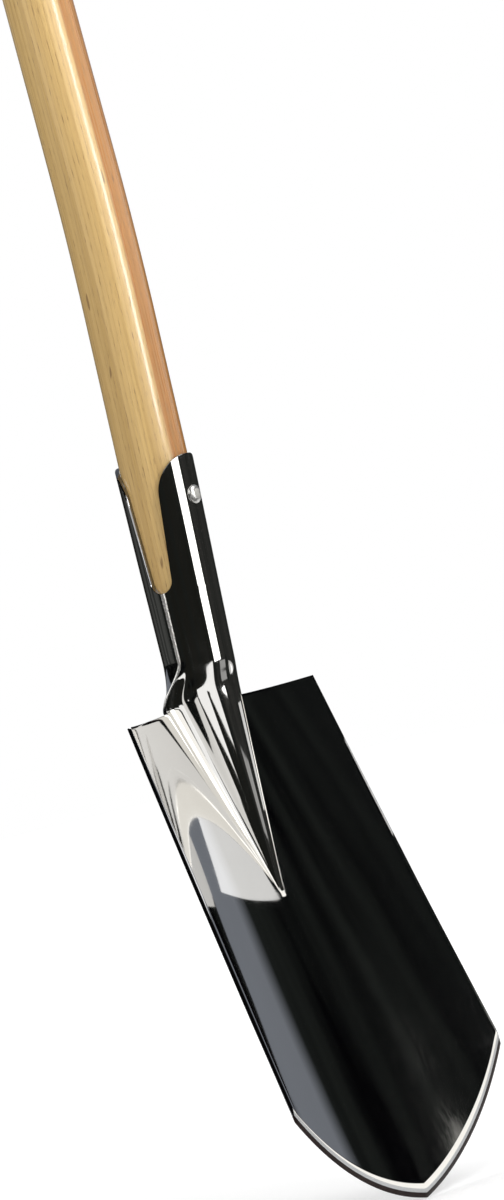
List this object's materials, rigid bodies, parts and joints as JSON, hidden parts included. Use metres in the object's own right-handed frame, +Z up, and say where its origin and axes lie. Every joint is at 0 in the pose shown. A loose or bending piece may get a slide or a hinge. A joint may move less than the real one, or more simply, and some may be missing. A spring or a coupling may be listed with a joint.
{
  "type": "garden spade",
  "caption": "Digging spade with a dished pointed steel blade, a central ridge, a strapped socket and an ash shaft with a T grip.",
  "frame": {"origin": "centre of the bounding box's underside, level with the blade's point", "axes": "+Z up along the socket from point to grip, -Y towards the side that the blade's hollow face looks to, X across the blade and along the T grip"},
  "size_m": [0.2234, 0.1118, 1.1132],
  "materials": {
    "blade_steel": "polished",
    "strap_steel": "polished",
    "rivet_steel": "satin",
    "shaft_ash": "oiled satin",
    "grip_ash": "oiled satin",
    "wedge_wood": "dark hardwood end grain",
    "pin_wood": "end grain"
  },
  "bodies": {
    "root": {"blade": "blade_steel", "back_strap": "strap_steel", "strap_rivet": "rivet_steel", "shaft": "shaft_ash", "t_grip": "grip_ash", "grip_wedge": "wedge_wood", "grip_pin": "pin_wood"}
  },
  "joints": []
}
